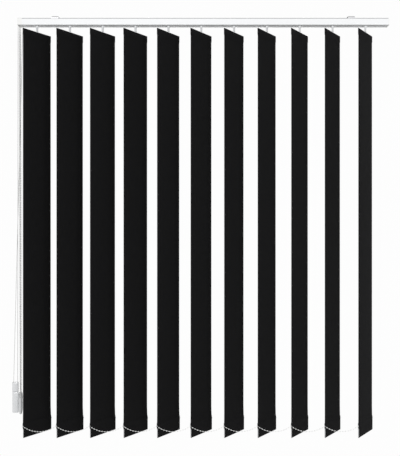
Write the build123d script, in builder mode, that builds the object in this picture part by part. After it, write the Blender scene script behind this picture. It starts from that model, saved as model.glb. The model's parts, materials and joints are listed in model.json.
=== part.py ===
from build123d import *
from math import cos, radians, sin
import os

os.makedirs("parts", exist_ok=True)

# Vertical blind with fabric slats, drawn in millimetres. Z is up, X runs along the headrail and
# the room is on the -Y side. The origin is on the ceiling, midway between the two brackets.

# Headrail
rail_depth = 34.0
rail_height = 24.5
rail_wall = 1.4
rail_corner = 2.0
rail_slot = 12.0
rail_lip = 2.4
ceiling_gap = 7.0
clip_groove_depth = 0.8
clip_groove_height = 1.6
clip_groove_drop = 1.6

# Slats
slat_count = 11
slat_pitch = 115.5
slat_width = 127.0
slat_height = 1413.2
slat_angle = 55.1
slat_drop = 21.1
first_slat_inset = 66.0
last_slat_inset = 80.0
fabric = 0.5
top_pocket = 24.0
bottom_pocket = 52.0
pocket_taper = 3.0
pocket_fold = 1.0

# Clearances
running = 0.3
seat = 0.1

# Slat fittings: hook, hanger and bottom weight
stem_radius = 3.3
stem_length = 5.0
hook_width = 8.5
hook_thickness = 4.4
hook_shoulder = 5.0
long_jaw = 13.0
short_jaw = 9.5
nib_width = 2.4
nib_height = 2.0
nib_drop = 8.0
tongue_width = 8.0
hanger_thickness = 1.2
hanger_width = 118.0
hanger_height = 17.0
weight_thickness = 1.7
weight_width = 123.0
weight_height = 46.0
lug_height = 5.0
lug_length = 5.0
lug_drop = 3.0

# Carriers
carrier_length = 18.4
carrier_wing_width = 29.6
carrier_wing_height = 6.0
carrier_core_width = 17.0
carrier_core_gap = 2.1
carrier_top_gap = 0.8
carrier_notch = 2.8
stem_seat = 4.8
strip_width = 12.4
strip_thickness = 0.4
strip_levels = 7
strip_end = 6.0
strip_step = 0.7
roller_radius = 3.7
roller_width = 4.0
small_round_sides = 8

# Tilt rod and chain wheel
rod_radius = 2.1
rod_rib_radius = 2.6
rod_rib_width = 1.1
rod_rib_count = 3
rod_end_play = 0.8
chain_bead = 4.4
wheel_pitch_radius = 7.64
wheel_flange = 0.7
wheel_flange_radius = 9.4
wheel_inset = 5.0
wheel_sides = 14

# End caps
control_cap_width = 16.0
return_cap_width = 3.5
cap_wall = 1.2
plug_length = 12.0
return_plug_length = 32.0
bearing_length = 5.0
bearing_radius = 4.6
return_pulley_inset = 15.5
pin_head = 2.5
pin_head_thickness = 0.7

# Draw cord and its pulleys
cord_radius = 0.9
cord_run_offset = 12.0
cord_run_drop = 3.6
guide_radius = 5.9
pulley_flange = 0.6
pulley_rim = 0.7
pin_radius = 1.5
front_cord_inset = 2.0
rear_cord_inset = 14.5
rear_exit_offset = 4.5
exit_drop = 1.5
cord_hole_radius = 1.5
rear_slant_top = 5.1
rear_slant_bottom = 6.0
rear_slant_bend = 2.0

# Cord weight and chain weight
weight_top = 1283.0
cord_weight_width = 21.0
cord_weight_depth = 10.0
cord_weight_height = 108.0
cord_weight_cap = 34.0
cord_weight_wall = 1.2
cord_weight_overhang = 10.2
cord_loop_radius = 7.6
cord_loop_drop = 42.0
chain_weight_radius = 7.2
chain_weight_neck = 5.6
chain_weight_tip = 3.0
chain_weight_sides = 24
chain_weight_top = 1319.0
chain_weight_height = 78.0
chain_weight_inset = 8.0
chain_loop_radius = 5.3
chain_loop_drop = 12.0

# Bottom chain
bottom_bead = 3.4
bottom_link = 1.3
bottom_bead_count = 12
bottom_chain_depth = 2.8
bottom_chain_sag = 18.0

# Brackets
bracket_inset = 132.5
bracket_width = 24.0
bracket_steel = 1.2
bracket_flat = 22.0
screw_radius = 2.25

# Carrier stop
stop_thickness = 3.0
stop_width = 16.0
stop_height = 6.0

# Places worked out from the sizes above
rail_width = first_slat_inset + slat_pitch * (slat_count - 1) + last_slat_inset
rail_top = -ceiling_gap
rail_bottom = rail_top - rail_height
rail_middle = (rail_top + rail_bottom) / 2
inner_top = rail_top - rail_wall
inner_bottom = rail_bottom + rail_wall
inner_depth = rail_depth - 2 * rail_wall
left_end = -rail_width / 2
right_end = rail_width / 2
rail_left = left_end + control_cap_width
rail_right = right_end - return_cap_width
slat_top = rail_bottom - slat_drop
slat_bottom = slat_top - slat_height
slat_x = [left_end + first_slat_inset + slat_pitch * i for i in range(slat_count)]
cord_run = inner_top - cord_run_drop
rod_z = rail_middle
lug_z = slat_bottom + pocket_fold + weight_height - lug_drop - lug_height / 2
lug_reach = slat_width / 2 + lug_length / 2


def export(part, label):
    """Label a finished sub-part and write it as its own STEP file."""
    part.label = label
    export_step(part, f"parts/{label}.step")


def grouped(parts):
    """Several finished solids that one node holds, side by side and not fused."""
    return Compound([solid for part in parts for solid in part.solids()])


def turned(part, x):
    """A slat's part, drawn about its own axis, moved to x and turned to the slats' angle."""
    return part.moved(Location((x, 0, 0), (0, 0, slat_angle)))


# Headrail: an extruded channel with a slot along its underside, whose two lips carry the rollers
with BuildPart() as headrail:
    with BuildSketch(Plane.YZ.offset(rail_left)) as channel:
        with Locations((0, rail_middle)):
            RectangleRounded(rail_depth, rail_height, rail_corner)
            Rectangle(inner_depth, rail_height - 2 * rail_wall, mode=Mode.SUBTRACT)
        with Locations((0, rail_bottom)):
            Rectangle(rail_slot, 2 * rail_lip, mode=Mode.SUBTRACT)
        groove_z = rail_top - clip_groove_drop - clip_groove_height / 2
        with Locations((-rail_depth / 2, groove_z), (rail_depth / 2, groove_z)):
            Rectangle(2 * clip_groove_depth, clip_groove_height, mode=Mode.SUBTRACT)
        for side in (-1, 1):
            with Locations((side * (rail_slot + rail_wall) / 2, inner_bottom + rail_lip / 4)):
                Rectangle(rail_wall, rail_lip / 2)
    extrude(amount=rail_right - rail_left)
export(headrail.part, "headrail")

# Brackets: a bent steel clip with a screw hole, whose two lips sit in the rail's grooves
bracket_x = rail_width / 2 - bracket_inset
clip_half = rail_depth / 2 + seat + bracket_steel / 2
lip_inner = rail_depth / 2 - clip_groove_depth / 2
for name, x in (("bracket_left", -bracket_x), ("bracket_right", bracket_x)):
    with BuildPart() as bracket:
        with BuildSketch(Plane.YZ.offset(x - bracket_width / 2)):
            with BuildLine():
                Polyline(
                    (-lip_inner, groove_z),
                    (-clip_half, groove_z),
                    (-clip_half, rail_top + bracket_steel),
                    (-bracket_flat / 2, -bracket_steel / 2),
                    (bracket_flat / 2, -bracket_steel / 2),
                    (clip_half, rail_top + bracket_steel),
                    (clip_half, groove_z),
                    (lip_inner, groove_z),
                )
            trace(line_width=bracket_steel)
        extrude(amount=bracket_width)
        with Locations((x, 0, 0)):
            Hole(screw_radius, 2 * bracket_steel)
    export(bracket.part, name)

# Tilt rod: a round shaft with ribs, from the chain wheel to the bearing in the return cap
wheel_x = left_end + wheel_inset
wheel_half = chain_bead / 2 + running + wheel_flange
rod_left = wheel_x + wheel_half
rod_right = rail_right - rod_end_play
with BuildPart() as tilt_rod:
    with BuildSketch(Plane.YZ.offset(rod_left)) as rod_section:
        with Locations((0, rod_z)):
            RegularPolygon(rod_radius, small_round_sides)
            with PolarLocations(0, rod_rib_count, start_angle=90):
                Rectangle(rod_rib_radius, rod_rib_width, align=(Align.MIN, Align.CENTER))
    extrude(amount=rod_right - rod_left)
export(tilt_rod.part, "tilt_rod")

# Chain wheel: a hub between two flanges, fixed to the rod's end and turning on the cap's pin
wheel_plane = Plane.YZ.offset(wheel_x - wheel_half)
with BuildPart() as chain_wheel:
    with BuildSketch(wheel_plane):
        with Locations((0, rod_z)):
            RegularPolygon(wheel_pitch_radius - chain_bead / 2 - running, wheel_sides)
    extrude(amount=2 * wheel_half)
    with BuildSketch(wheel_plane, wheel_plane.offset(2 * wheel_half - wheel_flange)):
        with Locations((0, rod_z)):
            RegularPolygon(wheel_flange_radius, wheel_sides)
    extrude(amount=wheel_flange)
    with BuildSketch(wheel_plane):
        with Locations((0, rod_z)):
            RegularPolygon(pin_radius + running, small_round_sides, major_radius=False)
    extrude(amount=2 * wheel_half - wheel_flange, mode=Mode.SUBTRACT)
export(chain_wheel.part, "chain_wheel")

# Pulleys: two upright ones lead the draw cord down at the control end, a flat one turns it round
guide_z = cord_run - guide_radius
front_cord_x = left_end + front_cord_inset
rear_cord_x = left_end + rear_cord_inset
front_guide = (front_cord_x + guide_radius, -cord_run_offset, guide_z)
rear_guide = (rear_cord_x + guide_radius, cord_run_offset, guide_z)
groove_half = cord_radius + running
pulley_width = 2 * (groove_half + pulley_flange)
return_pin = (rail_right - return_pulley_inset, 0, cord_run)
for name, centre, radius, axle in (
    ("front_guide_pulley", front_guide, guide_radius, (0, 1, 0)),
    ("rear_guide_pulley", rear_guide, guide_radius, (0, 1, 0)),
    ("return_pulley", return_pin, cord_run_offset, (0, 0, 1)),
):
    middle = Plane(origin=centre, x_dir=(1, 0, 0), z_dir=axle)
    with BuildPart() as pulley:
        with BuildSketch(middle):
            RegularPolygon(radius - groove_half, wheel_sides)
        extrude(amount=groove_half, both=True)
        with BuildSketch(middle.offset(groove_half), middle.offset(-pulley_width / 2)):
            RegularPolygon(radius + pulley_rim, wheel_sides)
        extrude(amount=pulley_flange)
        with BuildSketch(middle):
            RegularPolygon(pin_radius + running, small_round_sides, major_radius=False)
        extrude(amount=pulley_width, both=True, mode=Mode.SUBTRACT)
    export(pulley.part, name)

# Control end cap: a shell over the rail's end and a plug inside it, with the pins of the wheel and
# the guide pulleys
plug_depth = inner_depth - 2 * seat
plug_top = inner_top - seat
plug_bottom = inner_bottom + rail_lip / 2 + seat
plug_middle = (plug_top + plug_bottom) / 2
plug_height = plug_top - plug_bottom
plug_wall_y = plug_depth / 2 - cap_wall
with BuildPart() as control_end_cap:
    with BuildSketch(Plane.YZ.offset(left_end)) as cap_face:
        with Locations((0, rail_middle)):
            RectangleRounded(rail_depth, rail_height, rail_corner)
    extrude(amount=control_cap_width)
    with BuildSketch(Plane.YZ.offset(rail_left)) as plug_face:
        with Locations((0, plug_middle)):
            Rectangle(plug_depth, plug_height)
    extrude(amount=plug_length)
    with BuildSketch(Plane.YZ.offset(left_end + cap_wall)) as wheel_room:
        with Locations((0, rail_middle)):
            Rectangle(rail_depth - 2 * cap_wall, rail_height - 2 * cap_wall)
    extrude(amount=control_cap_width - 2 * cap_wall, mode=Mode.SUBTRACT)
    with BuildSketch(Plane.YZ.offset(rail_left - cap_wall)) as plug_room:
        with Locations((0, plug_middle)):
            Rectangle(plug_depth - 2 * cap_wall, plug_height - 2 * cap_wall)
    extrude(amount=plug_length + cap_wall, mode=Mode.SUBTRACT)
    with BuildSketch(Plane.YZ.offset(left_end + cap_wall)):
        with Locations((0, rod_z)):
            RegularPolygon(pin_radius, small_round_sides)
    extrude(amount=wheel_inset - cap_wall + wheel_half - wheel_flange - running)
    front_wall = (front_guide[0], cap_wall - rail_depth / 2, guide_z)
    with BuildSketch(Plane(origin=front_wall, z_dir=(0, 1, 0))):
        RegularPolygon(pin_radius, small_round_sides)
    extrude(amount=rail_depth / 2 - cap_wall - cord_run_offset + pulley_width / 2)
    with BuildSketch(Plane(origin=(rear_guide[0], plug_wall_y, guide_z), z_dir=(0, -1, 0))):
        RegularPolygon(pin_radius, small_round_sides)
    extrude(amount=plug_wall_y - cord_run_offset + pulley_width / 2)
    with BuildSketch(Plane.XY.offset(rail_bottom)):
        with Locations((wheel_x, -wheel_pitch_radius), (wheel_x, wheel_pitch_radius)):
            RegularPolygon(chain_bead / 2 + running, small_round_sides, major_radius=False)
    extrude(amount=2 * cap_wall, mode=Mode.SUBTRACT)
    with BuildSketch(Plane.XY.offset(rail_bottom)):
        with Locations((rear_cord_x, rear_exit_offset)):
            RegularPolygon(cord_hole_radius, small_round_sides, major_radius=False)
    extrude(amount=plug_bottom + 2 * cap_wall - rail_bottom, mode=Mode.SUBTRACT)
    with Locations((front_cord_x, -cord_run_offset, rail_bottom)):
        Box(
            2 * front_cord_inset + running,
            pulley_width,
            2 * (guide_z + front_cord_inset - rail_bottom),
            mode=Mode.SUBTRACT,
        )
export(control_end_cap.part, "control_end_cap")

# Return end cap: a plate over the rail's other end, the rod's bearing and the return pulley's shelf
with BuildPart() as return_end_cap:
    with BuildSketch(Plane.YZ.offset(rail_right)):
        with Locations((0, rail_middle)):
            RectangleRounded(rail_depth, rail_height, rail_corner)
    extrude(amount=return_cap_width)
    with BuildSketch(Plane.YZ.offset(rail_right - return_plug_length)) as shelf_face:
        with Locations((0, plug_top)):
            Rectangle(plug_depth, plug_top - rod_z, align=(Align.CENTER, Align.MAX))
        with Locations((0, plug_top - cap_wall)):
            Rectangle(
                plug_depth - 2 * cap_wall,
                plug_top - rod_z,
                align=(Align.CENTER, Align.MAX),
                mode=Mode.SUBTRACT,
            )
    extrude(amount=return_plug_length)
    with BuildSketch(Plane.YZ.offset(rail_right - bearing_length)):
        with Locations((0, rod_z)):
            RegularPolygon(bearing_radius, small_round_sides)
            RegularPolygon(
                rod_rib_radius + running, small_round_sides, major_radius=False, mode=Mode.SUBTRACT
            )
    extrude(amount=bearing_length)
    pin_end = cord_run - pulley_width / 2 - running
    with BuildSketch(Plane.XY.offset(pin_end)):
        with Locations((return_pin[0], 0)):
            RegularPolygon(pin_radius, small_round_sides)
    extrude(amount=plug_top - cap_wall - pin_end)
    with BuildSketch(Plane.XY.offset(pin_end)):
        with Locations((return_pin[0], 0)):
            RegularPolygon(pin_head, small_round_sides)
    extrude(amount=-pin_head_thickness)
export(return_end_cap.part, "return_end_cap")

# Carriers: a body with a groove for the strips, two notches for the cord, the rod's bore and the
# seat of the hook's stem. Two rollers run on the rail's lips and a strip leads to the next carrier.
strip_groove = strip_width / 2 + running
carrier_top = inner_top - carrier_top_gap
wing_bottom = carrier_top - carrier_wing_height
core_bottom = inner_bottom + carrier_core_gap
first_strip_z = carrier_top - running - strip_thickness / 2
groove_floor = first_strip_z - strip_levels * strip_step
notch_floor = cord_run - cord_radius - running
roller_z = inner_bottom + running + roller_radius
with BuildPart() as carrier_body:
    with BuildSketch(Plane.YZ.offset(-carrier_length / 2)) as carrier_section:
        with Locations((0, carrier_top)):
            Rectangle(carrier_wing_width, carrier_wing_height, align=(Align.CENTER, Align.MAX))
        with Locations((0, core_bottom)):
            Rectangle(carrier_core_width, carrier_top - core_bottom, align=(Align.CENTER, Align.MIN))
        with Locations((0, groove_floor)):
            Rectangle(
                2 * strip_groove,
                carrier_top - groove_floor,
                align=(Align.CENTER, Align.MIN),
                mode=Mode.SUBTRACT,
            )
        with Locations((-cord_run_offset, notch_floor), (cord_run_offset, notch_floor)):
            Rectangle(
                carrier_notch,
                carrier_top - notch_floor,
                align=(Align.CENTER, Align.MIN),
                mode=Mode.SUBTRACT,
            )
        with Locations((0, rod_z)):
            RegularPolygon(
                rod_rib_radius + running, small_round_sides, major_radius=False, mode=Mode.SUBTRACT
            )
    extrude(amount=carrier_length)
    with BuildSketch(Plane.XY.offset(core_bottom)):
        RegularPolygon(stem_radius + running, small_round_sides, major_radius=False)
    extrude(amount=stem_seat, mode=Mode.SUBTRACT)
with BuildPart() as roller_pair:
    with BuildSketch(Plane.XZ.offset(-carrier_core_width / 2)):
        with Locations((0, roller_z)):
            RegularPolygon(roller_radius, small_round_sides)
    extrude(amount=-roller_width)
    mirror(about=Plane.XZ)
for index, x in enumerate(slat_x):
    strip_z = first_strip_z - index % strip_levels * strip_step
    with BuildPart() as strip:
        with Locations((slat_pitch / 2, 0, strip_z)):
            Box(slat_pitch + 2 * strip_end, strip_width, strip_thickness)
    pieces = [carrier_body.part, roller_pair.part, strip.part]
    if index + 1 == slat_count:
        pieces.remove(strip.part)
    export(grouped(pieces).moved(Location((x, 0, 0))), f"carrier_{index + 1:02d}")

# Carrier stop: a block on the rail's lips that keeps the first carrier half a slat from the end
with BuildPart() as carrier_stop:
    with Locations((slat_x[0] - carrier_length / 2, 0, inner_bottom + rail_lip / 2)):
        Box(stop_thickness, stop_width, stop_height, align=(Align.MAX, Align.CENTER, Align.MIN))
export(carrier_stop.part, "carrier_stop")

# Slat, drawn edge on: one thin sheet with a flat pocket folded at the top and a deeper one below
sheet_half = fabric / 2
top_half = hanger_thickness / 2 + seat + fabric
bottom_half = weight_thickness / 2 + seat + fabric
top_seam = slat_top - top_pocket
bottom_seam = slat_bottom + bottom_pocket
with BuildPart() as slat_blank:
    with BuildSketch(Plane.YZ.offset(-slat_width / 2)) as slat_section:
        with BuildLine():
            Polyline(
                (0, slat_top),
                (top_half - pocket_fold / 2, slat_top),
                (top_half, slat_top - pocket_fold / 2),
                (top_half, top_seam + pocket_taper),
                (sheet_half, top_seam),
                (sheet_half, bottom_seam),
                (bottom_half, bottom_seam - pocket_taper),
                (bottom_half, slat_bottom + pocket_fold / 2),
                (bottom_half - pocket_fold / 2, slat_bottom),
                (0, slat_bottom),
                close=True,
            )
        make_face()
        mirror(about=Plane.YZ)
        with Locations((0, slat_top - pocket_fold)):
            Rectangle(
                2 * (top_half - fabric),
                top_pocket - pocket_fold - pocket_taper,
                align=(Align.CENTER, Align.MAX),
                mode=Mode.SUBTRACT,
            )
        with Locations((0, slat_bottom + pocket_fold)):
            Rectangle(
                2 * (bottom_half - fabric),
                bottom_pocket - pocket_fold - pocket_taper,
                align=(Align.CENTER, Align.MIN),
                mode=Mode.SUBTRACT,
            )
    extrude(amount=slat_width)
    with Locations((0, 0, slat_top)):
        Box(tongue_width + 2 * running, 2 * (top_half - fabric), 2 * pocket_fold, mode=Mode.SUBTRACT)

# Fittings of a slat: a hook that turns in the carrier, a hanger plate and a bottom weight with lugs
stem_top = core_bottom + stem_seat - running
stem_bottom = rail_bottom - stem_length / 2
shoulder_z = stem_bottom - hook_shoulder
nib_z = shoulder_z - nib_drop
jaw_gap = hanger_thickness + 2 * seat
jaw = (hook_thickness - jaw_gap) / 2
with BuildPart() as hook:
    with BuildSketch(Plane.XY.offset(stem_bottom)):
        RegularPolygon(stem_radius, small_round_sides)
    extrude(amount=stem_top - stem_bottom)
    with BuildSketch(Plane.YZ.offset(-hook_width / 2)):
        with Locations((0, stem_bottom)):
            Rectangle(hook_thickness, hook_shoulder, align=(Align.CENTER, Align.MAX))
        with Locations((-hook_thickness / 2, shoulder_z)):
            Rectangle(jaw, long_jaw, align=(Align.MIN, Align.MAX))
        with Locations((hook_thickness / 2, shoulder_z)):
            Rectangle(jaw, short_jaw, align=(Align.MAX, Align.MAX))
    extrude(amount=hook_width)
    with Locations((0, 0, nib_z)):
        Box(nib_width, jaw_gap, nib_height)
with BuildPart() as hanger:
    with BuildSketch(Plane.XZ.offset(-hanger_thickness / 2)):
        with Locations((0, slat_top - pocket_fold - seat)):
            Rectangle(hanger_width, hanger_height, align=(Align.CENTER, Align.MAX))
            Rectangle(
                tongue_width,
                shoulder_z - slat_top + pocket_fold,
                align=(Align.CENTER, Align.MIN),
            )
        with Locations((0, nib_z)):
            Rectangle(nib_width + 2 * running, nib_height + 2 * running, mode=Mode.SUBTRACT)
    extrude(amount=hanger_thickness)
with BuildPart() as bottom_weight:
    with BuildSketch(Plane.XZ.offset(-weight_thickness / 2)):
        with Locations((0, slat_bottom + pocket_fold)):
            Rectangle(weight_width, weight_height, align=(Align.CENTER, Align.MIN))
        with Locations((0, lug_z)):
            Rectangle(slat_width + 2 * lug_length, lug_height)
    extrude(amount=weight_thickness)
for index, x in enumerate(slat_x):
    export(turned(slat_blank.part, x), f"slat_{index + 1:02d}")
    fittings = grouped([hook.part, hanger.part, bottom_weight.part])
    export(turned(fittings, x), f"slat_fittings_{index + 1:02d}")

# Bottom chain: one bay of beads hangs in a shallow curve from each near lug to the next
lug_x = -lug_reach * cos(radians(slat_angle))
lug_y = -lug_reach * sin(radians(slat_angle))
bay_inset = lug_length / 2 + 2 * running - seat
bay_span = slat_pitch - 2 * bay_inset


def bay_outline():
    """The upper edge of a beaded bay and then its lower edge, as points that rise at each bead."""
    upper, lower = [], []
    for step in range(2 * bottom_bead_count + 1):
        share = step / (2 * bottom_bead_count)
        half = (bottom_bead if step % 2 else bottom_link) / 2
        sag = 4 * bottom_chain_sag * share * (1 - share)
        upper.append((bay_inset + bay_span * share, half - sag))
        lower.append((bay_inset + bay_span * share, -half - sag))
    return upper + lower[::-1]


for index, x in enumerate(slat_x[:-1]):
    with BuildPart() as bay:
        with BuildSketch(Plane(origin=(x + lug_x, lug_y, lug_z), x_dir=(1, 0, 0), z_dir=(0, -1, 0))):
            with BuildLine():
                Polyline(*bay_outline(), close=True)
            make_face()
        extrude(amount=bottom_chain_depth / 2, both=True)
    export(bay.part, f"bottom_chain_{index + 1:02d}")

# Draw cord: two runs inside the rail join round the return pulley, and both hang to the cord weight
cord_end = rail_bottom - exit_drop
cord_weight_x = left_end - cord_weight_overhang
cord_loop_z = -weight_top - cord_loop_drop


def tube(points, radii, radius):
    """A cord with four flats swept along straight runs joined by tangent arcs."""
    with BuildPart() as swept:
        with BuildLine() as route:
            FilletPolyline(*points, radius=radii)
        with BuildSketch(Plane(origin=route.line @ 0, z_dir=route.line % 0)):
            RegularPolygon(radius, 4)
        sweep(path=route.line)
    return swept.part


draw_cord_inside = tube(
    (
        (rear_cord_x, rear_exit_offset, cord_end),
        (rear_cord_x, rear_exit_offset, cord_end + rear_slant_bottom),
        (rear_cord_x, cord_run_offset, guide_z - rear_slant_top),
        (rear_cord_x, cord_run_offset, cord_run),
        (return_pin[0] + cord_run_offset, cord_run_offset, cord_run),
        (return_pin[0] + cord_run_offset, -cord_run_offset, cord_run),
        (front_cord_x, -cord_run_offset, cord_run),
        (front_cord_x, -cord_run_offset, cord_end),
    ),
    (
        rear_slant_bend,
        rear_slant_bend,
        guide_radius,
        cord_run_offset - seat,
        cord_run_offset - seat,
        guide_radius,
    ),
    cord_radius,
)
export(draw_cord_inside, "draw_cord_inside")
draw_cord = tube(
    (
        (front_cord_x, -cord_run_offset, cord_end - seat),
        (cord_weight_x + cord_loop_radius, 0, cord_loop_z - cord_loop_radius),
        (cord_weight_x - cord_loop_radius, 0, cord_loop_z - cord_loop_radius),
        (rear_cord_x, rear_exit_offset, cord_end - seat),
    ),
    (cord_loop_radius - seat, cord_loop_radius - seat),
    cord_radius,
)
export(draw_cord, "draw_cord")

# Tilt chain: an arch over the chain wheel and a loop that hangs to the chain weight
chain_weight_x = left_end + chain_weight_inset
chain_loop_z = -chain_weight_top - chain_loop_drop
arch = tube(
    (
        (wheel_x, -wheel_pitch_radius, cord_end),
        (wheel_x, -wheel_pitch_radius, rod_z + wheel_pitch_radius),
        (wheel_x, wheel_pitch_radius, rod_z + wheel_pitch_radius),
        (wheel_x, wheel_pitch_radius, cord_end),
    ),
    (wheel_pitch_radius - seat, wheel_pitch_radius - seat),
    chain_bead / 2,
)
loop = tube(
    (
        (wheel_x, -wheel_pitch_radius, cord_end - seat),
        (chain_weight_x, -chain_loop_radius, chain_loop_z - chain_loop_radius),
        (chain_weight_x, chain_loop_radius, chain_loop_z - chain_loop_radius),
        (wheel_x, wheel_pitch_radius, cord_end - seat),
    ),
    (chain_loop_radius - seat, chain_loop_radius - seat),
    chain_bead / 2,
)
export(grouped([arch, loop]), "tilt_chain")

# Cord weight: a cap with two cord holes, and a body whose hollow top holds the boss that the loop
# runs round
cap_bottom = -weight_top - cord_weight_cap
weight_plane = Plane(origin=(cord_weight_x, 0, cap_bottom))
room_width = cord_weight_width - 2 * cord_weight_wall
room_depth = cord_weight_depth - 2 * cord_weight_wall
loop_depth = cord_loop_drop + cord_loop_radius
hole_share = loop_depth / (weight_top + loop_depth + cord_end)
front_hole_x = cord_loop_radius + hole_share * (front_cord_x - cord_weight_x - cord_loop_radius)
rear_hole_x = hole_share * (rear_cord_x - cord_weight_x + cord_loop_radius) - cord_loop_radius
with BuildPart() as weight_cap:
    with BuildSketch(weight_plane):
        cap_outline = Rectangle(cord_weight_width, cord_weight_depth)
        chamfer(cap_outline.vertices(), cord_weight_wall)
    extrude(amount=cord_weight_cap)
    with BuildSketch(weight_plane):
        Rectangle(room_width, room_depth)
    extrude(amount=cord_weight_cap - cord_weight_wall, mode=Mode.SUBTRACT)
    with BuildSketch(weight_plane.offset(cord_weight_cap)):
        with Locations(
            (front_hole_x, -hole_share * cord_run_offset), (rear_hole_x, hole_share * rear_exit_offset)
        ):
            RegularPolygon(cord_hole_radius, small_round_sides, major_radius=False)
    extrude(amount=-2 * cord_weight_wall, mode=Mode.SUBTRACT)
with BuildPart() as weight_body:
    with BuildSketch(weight_plane):
        body_outline = Rectangle(cord_weight_width - seat, cord_weight_depth - seat)
        chamfer(body_outline.vertices(), cord_weight_wall)
    extrude(amount=cord_weight_cap - cord_weight_height)
    chamfer(weight_body.faces().sort_by(Axis.Z)[0].edges(), cord_weight_wall)
    with BuildSketch(weight_plane):
        Rectangle(room_width, room_depth)
    room_floor = cord_loop_z - cord_loop_radius - 2 * cord_radius
    extrude(amount=room_floor - cap_bottom, mode=Mode.SUBTRACT)
    with BuildSketch(Plane(origin=(cord_weight_x, 0, cord_loop_z), z_dir=(0, 1, 0))):
        RegularPolygon(cord_loop_radius - cord_radius - running, small_round_sides)
    extrude(amount=(cord_weight_depth - cord_weight_wall) / 2, both=True)
export(grouped([weight_cap.part, weight_body.part]), "cord_weight")

# Chain weight: a many-sided drop with a slot across its top, where the chain runs round a pin
drop_end = -chain_weight_top - chain_weight_height
drop_slope = chain_weight_radius - chain_weight_neck
with BuildPart() as chain_weight:
    with BuildSketch(Plane(origin=(chain_weight_x, 0, drop_end))):
        RegularPolygon(chain_weight_radius, chain_weight_sides)
    extrude(amount=chain_weight_height)
    drop_top = chain_weight.faces().sort_by(Axis.Z)[-1]
    chamfer(drop_top.edges(), drop_slope, chain_loop_drop, reference=drop_top)
    drop_tip = chain_weight.faces().sort_by(Axis.Z)[0]
    chamfer(drop_tip.edges(), drop_slope, chain_weight_tip, reference=drop_tip)
    slot_depth = chain_loop_drop + chain_loop_radius + chain_bead / 2 + running
    with Locations((chain_weight_x, 0, -chain_weight_top)):
        Box(chain_bead + 2 * running, 2 * chain_weight_radius, 2 * slot_depth, mode=Mode.SUBTRACT)
    with BuildSketch(Plane(origin=(chain_weight_x, 0, chain_loop_z), z_dir=(1, 0, 0))):
        RegularPolygon(chain_loop_radius - chain_bead / 2 - running, small_round_sides)
    extrude(amount=chain_weight_neck - running, both=True)
export(chain_weight.part, "chain_weight")
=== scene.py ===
# %% [markdown]
# # A vertical blind in Blender
# The blind hangs from the ceiling: a slim white headrail, eleven black cloth slats that turn
# together, a beaded chain that ties their lower corners, and two loops at the left end that work
# it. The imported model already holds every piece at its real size. This lesson dresses that frame:
# it keeps the rail, caps and gear, and builds new cloth, hooks, weights and chains round them.

import bmesh
import bpy
import json
from math import cos, pi, radians, sin
from mathutils import Matrix, Vector


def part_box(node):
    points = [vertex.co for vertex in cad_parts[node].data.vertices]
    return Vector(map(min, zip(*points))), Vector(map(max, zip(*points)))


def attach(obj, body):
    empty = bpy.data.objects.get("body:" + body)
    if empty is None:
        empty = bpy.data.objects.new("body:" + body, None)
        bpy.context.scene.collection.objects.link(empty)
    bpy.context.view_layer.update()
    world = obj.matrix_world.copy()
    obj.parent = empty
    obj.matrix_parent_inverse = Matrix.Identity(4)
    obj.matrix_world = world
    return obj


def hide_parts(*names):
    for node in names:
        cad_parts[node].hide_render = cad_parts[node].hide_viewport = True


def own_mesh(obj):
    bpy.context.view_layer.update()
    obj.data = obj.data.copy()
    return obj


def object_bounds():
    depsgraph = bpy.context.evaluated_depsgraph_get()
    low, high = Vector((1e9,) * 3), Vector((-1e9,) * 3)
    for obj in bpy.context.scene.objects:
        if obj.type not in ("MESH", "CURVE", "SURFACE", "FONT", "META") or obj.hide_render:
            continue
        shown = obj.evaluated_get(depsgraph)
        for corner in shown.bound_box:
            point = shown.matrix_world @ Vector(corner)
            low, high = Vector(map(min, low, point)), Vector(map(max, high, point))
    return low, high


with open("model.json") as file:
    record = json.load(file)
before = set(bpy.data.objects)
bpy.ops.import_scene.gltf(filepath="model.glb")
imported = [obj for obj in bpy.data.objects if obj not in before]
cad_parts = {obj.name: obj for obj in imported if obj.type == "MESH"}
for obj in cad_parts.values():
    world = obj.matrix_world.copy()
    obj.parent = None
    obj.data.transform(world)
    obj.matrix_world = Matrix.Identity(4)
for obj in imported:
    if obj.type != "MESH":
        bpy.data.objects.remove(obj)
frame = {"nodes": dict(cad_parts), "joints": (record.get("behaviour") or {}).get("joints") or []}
cad_box = [list(corner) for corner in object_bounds()]
MM = 0.001
print("CAD box in metres:", cad_box)

# %% [markdown]
# The camera comes first, because everything is compared with the photograph through it. Its place
# and lens follow from the pitch of the slats' near and far edges. The horizon sits a little under
# the picture's middle. A tilted camera would lean the slats' edges together, so the camera looks
# level and its lens is shifted instead.

# %% Camera
IMAGE_LONG_SIDE = 456
CAMERA_PLACE = (-11.3 * MM, -2420.6 * MM, -759.1 * MM)
CAMERA_LENS = 54.3
SENSOR_WIDTH = 36
HORIZON_UNDER_MIDDLE = 4.9

camera = bpy.data.objects.new("camera", bpy.data.cameras.new("camera"))
bpy.context.scene.collection.objects.link(camera)
camera.location = CAMERA_PLACE
camera.rotation_euler = (radians(90), 0, 0)
camera.data.lens = CAMERA_LENS
camera.data.sensor_width = SENSOR_WIDTH
camera.data.shift_y = HORIZON_UNDER_MIDDLE / IMAGE_LONG_SIDE
bpy.context.scene.camera = camera
print("the camera is", -CAMERA_PLACE[1], "m in front of the rail")

# %% [markdown]
# ## Shared effects
# Two effects are used by more than one finish, so each is a node group that is built once. The
# first is the fine unevenness of paint and moulded plastic. The second is thread: a woven cloth
# and a braided cord both show rows of small rounded bumps, only at different scales. Two small
# helpers keep the node trees readable.


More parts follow.
